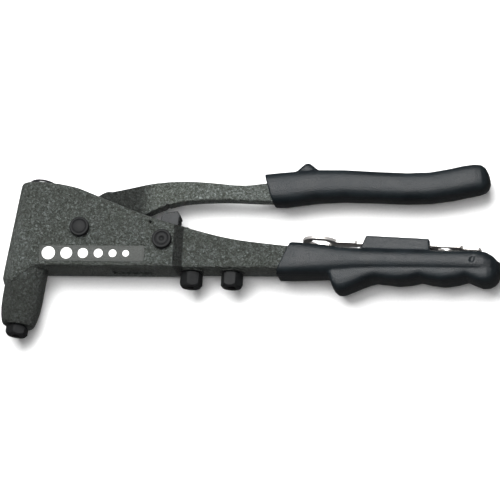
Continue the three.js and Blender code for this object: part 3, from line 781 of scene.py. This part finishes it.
# ---------------------------------------------------------------------- marking
PANEL_LEFT, PANEL_RIGHT = -20.3, 34.1
PANEL_LOW, PANEL_HIGH = -17.9, -9.4
PANEL_TOP = 10.78
PANEL_CORNER = 0.8
PANEL_THICKNESS = 0.4
# inset and drop below the top at each row of the plate's edge, from the bottom
PANEL_EDGE = ((0, PANEL_THICKNESS), (0, 0.12), (0.04, 0.04), (0.12, 0))
# place along the panel and radius
MARKS = ((-15.5, 3.4), (-6.2, 3.0), (2.4, 2.6), (10.4, 2.3), (17.8, 2.0), (24.6, 1.7))
MARK_LINE = -13.6
MARK_TOP = 11.0
MARK_SINK = 0.2
MARK_EDGE = 0.1
MARK_EDGE_MIDDLE = 0.03


def ride_body(piece, material):
    piece.data.materials.append(material)
    for polygon in piece.data.polygons:
        polygon.use_smooth = True
    piece.data.set_sharp_from_angle(angle=math.radians(40))
    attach(piece, "body")


def panel_plate(material):
    """A thin smooth plate with eased edges in the panel's recess."""
    left, right = PANEL_LEFT + PANEL_CORNER, PANEL_RIGHT - PANEL_CORNER
    low, high = PANEL_LOW + PANEL_CORNER, PANEL_HIGH - PANEL_CORNER
    corners = ((right, high, 0), (left, high, 90), (left, low, 180), (right, low, 270))
    rings = []
    for inset, drop in PANEL_EDGE:
        ring = []
        reach = PANEL_CORNER - inset
        for x, y, start in corners:
            for turn in QUARTER_TURN:
                angle = math.radians(start) + turn
                ring.append(at(
                    x + reach * math.cos(angle),
                    y + reach * math.sin(angle),
                    PANEL_TOP - drop,
                ))
        rings.append(ring)
    middle = ((left + right) / 2, (low + high) / 2)
    rings.insert(0, [at(*middle, PANEL_TOP - PANEL_THICKNESS)])
    rings.append([at(*middle, PANEL_TOP)])
    ride_body(rings_to_piece("panel_plate", rings, closed=False), material)


def markings(material):
    """Plain raised discs in falling sizes on the front panel."""
    seat = PANEL_TOP - MARK_SINK
    for index, (place, radius) in enumerate(MARKS):
        profile = [
            (0, seat), (radius, seat), (radius, MARK_TOP - MARK_EDGE),
            (radius - MARK_EDGE_MIDDLE, MARK_TOP - MARK_EDGE_MIDDLE),
            (radius - MARK_EDGE, MARK_TOP), (0, MARK_TOP),
        ]
        origin = at(place, MARK_LINE, 0)
        disc = turned(f"panel_mark_{index + 1}", origin, UPWARDS, SIDEWAYS, profile)
        ride_body(disc, material)


# ---------------------------------------------------------------------- assembly
make_camera()
make_floor()
make_lights()

plastic = grip_plastic()
steel = black_steel("black_oxide_steel", dark=0.005, light=0.011)
worn_steel = black_steel("worn_black_steel", dark=0.022, light=0.040)
bright = bright_steel()

body_paint = cast_paint("speckled_cast_paint", gain=2.6, shades=(painted_band_shade, painted_barrel_shade))
casting("body_casting", body_paint)
# the lever's copy of the paint is made lighter than the body's as painted sheen on its arm, and carries a painted
# shadow on its hub under the cheeks
lever_paint_with_painted_sheen = cast_paint("speckled_lever_paint", gain=4.2, shades=(cheek_shade,))
casting("lever_arm", lever_paint_with_painted_sheen)
panel_plate(panel_paint())
for grip_node in ("lower_grip", "upper_grip"):
    grip(grip_node, plastic)

pin("lever_pivot_pin", place=(0, 0), radius=4, seat=11.0, face=DISHED, material=steel)
pin("stop_pin", place=(43.1, -6.2), radius=3.5, seat=11.4, face=DIMPLED, material=steel)
rear_cap(gloss_black())
nosepieces(steel)
bevelled("stop_block", worn_steel, 0.2 * MM)
bevelled("pivot_retaining_ring", steel, 0.12 * MM)
bevelled("stop_retaining_ring", steel, 0.12 * MM)
bevelled("spanner", zinc_plate(), 0.12 * MM)
for inner_node in (
    "draw_rod", "jaw_case", "jaw_pusher", "pusher_spring", "jaw_1", "jaw_2", "jaw_3",
):
    bevelled(inner_node, bright, 0.08 * MM)
markings(marking_white())
